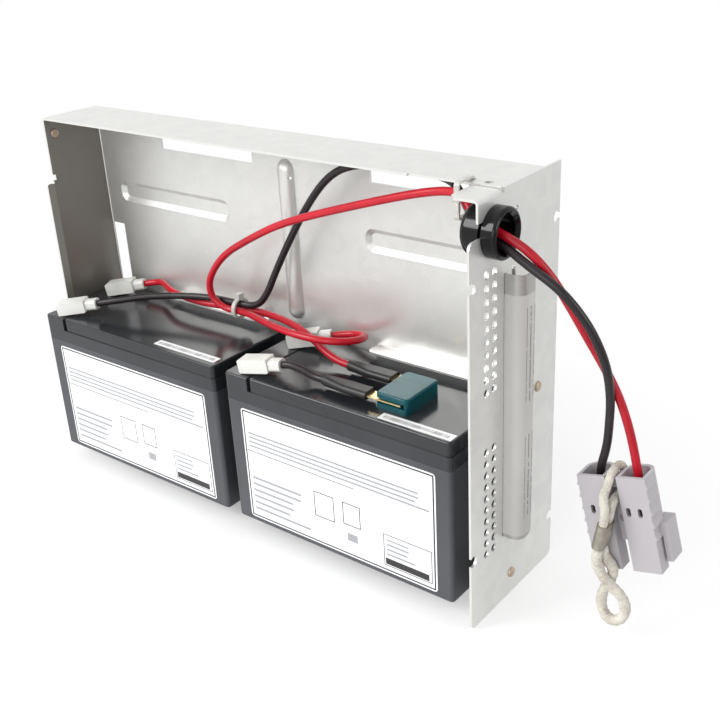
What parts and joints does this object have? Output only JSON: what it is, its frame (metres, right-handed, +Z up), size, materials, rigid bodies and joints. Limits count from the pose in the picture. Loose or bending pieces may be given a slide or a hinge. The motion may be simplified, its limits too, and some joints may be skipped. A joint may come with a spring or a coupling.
{
  "type": "ups battery cartridge",
  "caption": "Replaceable battery cartridge: two sealed batteries in a folded sheet tray with vented front plate, wired through a fuse to a two-pole connector.",
  "frame": {"origin": "middle of the foot of the tray and plate as it stands on its long side, wires left out", "axes": "+X along the tray from its closed end to the front plate, +Y from the open side to the tray's back panel, +Z up"},
  "size_m": [0.4129, 0.081, 0.226],
  "materials": {
    "galvanised_sheet": "bright galvanised, faint spangle",
    "rivet_metal": "dull plated",
    "black_nylon": "glossy moulded",
    "case_plastic": "satin moulded",
    "lid_plastic": "glossy moulded",
    "terminal_metal": "tin plated",
    "boot_nylon": "milky translucent",
    "fuse_plastic": "tinted translucent",
    "fuse_metal": "bright",
    "shrink_tube": "satin",
    "black_insulation": "satin",
    "red_insulation": "satin",
    "grey_polycarbonate": "satin moulded",
    "contact_metal": "silver plated",
    "white_braid": "braided cotton",
    "crimp_metal": "bright",
    "adhesive_foam": "foam tape",
    "tie_nylon": "moulded"
  },
  "bodies": {
    "root": {"tray": "galvanised_sheet", "front_plate": "galvanised_sheet", "pull_handle": "galvanised_sheet", "rivets": "rivet_metal", "cable_bushing": "black_nylon", "fuse_body": "fuse_plastic", "fuse_link": "fuse_metal", "shrink_sleeve_near": "shrink_tube", "shrink_sleeve_far": "shrink_tube", "black_lead": "black_insulation", "red_lead": "red_insulation", "red_link": "red_insulation", "black_link": "black_insulation", "connector_housing": "grey_polycarbonate", "contact_black": "contact_metal", "contact_red": "contact_metal", "pull_cord": "white_braid", "cord_crimp": "crimp_metal", "bundle_tie": "tie_nylon", "anchor_tie": "tie_nylon", "battery_case_left": "case_plastic", "battery_lid_left": "lid_plastic", "vent_cover_left": "lid_plastic", "adhesive_pad_left": "adhesive_foam", "blade_left_near": "terminal_metal", "boot_left_near": "boot_nylon", "blade_left_far": "terminal_metal", "boot_left_far": "boot_nylon", "battery_case_right": "case_plastic", "battery_lid_right": "lid_plastic", "vent_cover_right": "lid_plastic", "adhesive_pad_right": "adhesive_foam", "blade_right_near": "terminal_metal", "boot_right_near": "boot_nylon", "blade_right_far": "terminal_metal", "boot_right_far": "boot_nylon"}
  },
  "joints": []
}
